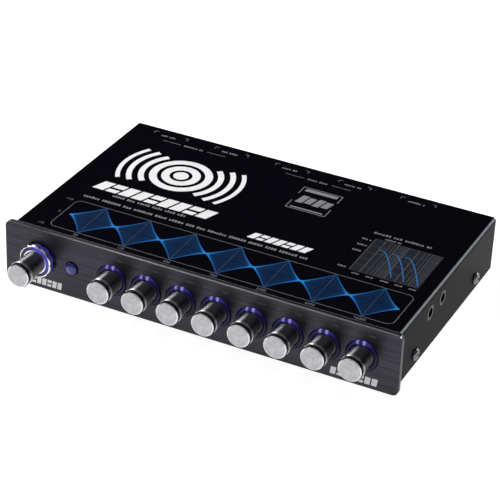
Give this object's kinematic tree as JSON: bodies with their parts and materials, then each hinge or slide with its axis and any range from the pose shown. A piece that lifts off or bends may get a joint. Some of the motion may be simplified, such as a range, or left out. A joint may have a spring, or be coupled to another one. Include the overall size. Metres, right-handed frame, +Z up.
{
  "type": "graphic equalizer",
  "caption": "Slim dashboard graphic equalizer: wide front panel with lit tone knobs, a dual master control and a push button on a flat steel case.",
  "frame": {"origin": "under the middle of the whole unit, controls and rear jacks included, level with the front panel's lower edge", "axes": "+X to the right as seen from the front, +Y from the front panel to the rear jacks, +Z up"},
  "size_m": [0.178, 0.131, 0.0276],
  "materials": {
    "panel_metal": "black anodised, brushed along the width",
    "case_paint": "satin black powder coat",
    "tray_paint": "satin black powder coat",
    "screw_steel": "black oxide",
    "plated_steel": "zinc plated",
    "knob_black": "gloss black lacquer",
    "knob_metal": "spun and polished",
    "shaft_metal": "turned",
    "ring_chrome": "bright plating",
    "lit_acrylic": "clear blue, lit from behind",
    "lamp_epoxy": "clear blue epoxy",
    "button_blue": "translucent, lit from behind",
    "pot_metal": "pressed can",
    "switch_plastic": "moulded",
    "board_green": "solder mask",
    "chip_black": "moulded epoxy",
    "capacitor_sleeve": "shrink sleeve",
    "copper_wound": "enamelled winding",
    "jack_black": "moulded",
    "jack_nickel": "nickel plating",
    "jack_white": "moulded",
    "jack_red": "moulded",
    "socket_nylon": "natural nylon",
    "pin_brass": "tinned brass",
    "slider_white": "moulded"
  },
  "bodies": {
    "root": {"faceplate": "panel_metal", "chassis_tray": "tray_paint", "top_cover": "case_paint", "cover_screws": "screw_steel", "mount_nuts": "screw_steel", "light_rings": "lit_acrylic", "ring_lamps": "lamp_epoxy", "tone_pots": "pot_metal", "pot_nuts": "plated_steel", "master_pot": "pot_metal", "button_switch": "switch_plastic", "button_spring": "plated_steel", "main_board": "board_green", "control_board": "board_green", "board_header": "socket_nylon", "board_standoffs": "plated_steel", "board_screws": "plated_steel", "op_amps": "chip_black", "capacitors": "capacitor_sleeve", "supply_choke": "copper_wound", "voltage_regulator": "chip_black", "phono_blocks": "jack_black", "phono_shells": "jack_nickel", "phono_cores_white": "jack_white", "phono_cores_red": "jack_red", "power_socket": "socket_nylon", "power_pins": "pin_brass", "selector_body": "pot_metal"},
    "knob_1": {"knob_body_1": "knob_black", "knob_cap_1": "knob_metal", "pot_shaft_1": "shaft_metal"},
    "knob_2": {"knob_body_2": "knob_black", "knob_cap_2": "knob_metal", "pot_shaft_2": "shaft_metal"},
    "knob_3": {"knob_body_3": "knob_black", "knob_cap_3": "knob_metal", "pot_shaft_3": "shaft_metal"},
    "knob_4": {"knob_body_4": "knob_black", "knob_cap_4": "knob_metal", "pot_shaft_4": "shaft_metal"},
    "knob_5": {"knob_body_5": "knob_black", "knob_cap_5": "knob_metal", "pot_shaft_5": "shaft_metal"},
    "knob_6": {"knob_body_6": "knob_black", "knob_cap_6": "knob_metal", "pot_shaft_6": "shaft_metal"},
    "knob_7": {"knob_body_7": "knob_black", "knob_cap_7": "knob_metal", "pot_shaft_7": "shaft_metal"},
    "knob_8": {"knob_body_8": "knob_black", "knob_cap_8": "knob_metal", "pot_shaft_8": "shaft_metal"},
    "volume": {"volume_knob": "knob_black", "volume_cap": "knob_metal", "volume_shaft": "shaft_metal"},
    "fader": {"fader_ring": "ring_chrome", "fader_insert": "lit_acrylic", "fader_shaft": "shaft_metal"},
    "button": {"button_cap": "button_blue"},
    "selector": {"selector_slider": "slider_white"}
  },
  "joints": [
    {"name": "knob_1_turn", "type": "hinge", "parent": "root", "child": "knob_1", "pos_m": [-0.0384, -0.0491, 0.0139], "axis": [0, 1, 0], "range_deg": [-150, 150]},
    {"name": "knob_2_turn", "type": "hinge", "parent": "root", "child": "knob_2", "pos_m": [-0.0225, -0.0491, 0.0139], "axis": [0, 1, 0], "range_deg": [-150, 150]},
    {"name": "knob_3_turn", "type": "hinge", "parent": "root", "child": "knob_3", "pos_m": [-0.0066, -0.0491, 0.0139], "axis": [0, 1, 0], "range_deg": [-150, 150]},
    {"name": "knob_4_turn", "type": "hinge", "parent": "root", "child": "knob_4", "pos_m": [0.0093, -0.0491, 0.0139], "axis": [0, 1, 0], "range_deg": [-150, 150]},
    {"name": "knob_5_turn", "type": "hinge", "parent": "root", "child": "knob_5", "pos_m": [0.0252, -0.0491, 0.0139], "axis": [0, 1, 0], "range_deg": [-150, 150]},
    {"name": "knob_6_turn", "type": "hinge", "parent": "root", "child": "knob_6", "pos_m": [0.0411, -0.0491, 0.0139], "axis": [0, 1, 0], "range_deg": [-150, 150]},
    {"name": "knob_7_turn", "type": "hinge", "parent": "root", "child": "knob_7", "pos_m": [0.057, -0.0491, 0.0139], "axis": [0, 1, 0], "range_deg": [-150, 150]},
    {"name": "knob_8_turn", "type": "hinge", "parent": "root", "child": "knob_8", "pos_m": [0.0729, -0.0491, 0.0139], "axis": [0, 1, 0], "range_deg": [-150, 150]},
    {"name": "volume_turn", "type": "hinge", "parent": "root", "child": "volume", "pos_m": [-0.073, -0.0491, 0.0139], "axis": [0, 1, 0], "range_deg": [-150, 150]},
    {"name": "fader_turn", "type": "hinge", "parent": "root", "child": "fader", "pos_m": [-0.073, -0.0491, 0.0139], "axis": [0, 1, 0], "range_deg": [-140, 140]},
    {"name": "button_press", "type": "slide", "parent": "root", "child": "button", "axis": [0, 1, 0], "range_m": [0, 0.0012], "stiffness_N_per_m": 150, "springref_m": -0.008, "deforming": ["button_spring"]},
    {"name": "selector_slide", "type": "slide", "parent": "root", "child": "selector", "axis": [1, 0, 0], "range_m": [-0.002, 0.002]}
  ]
}
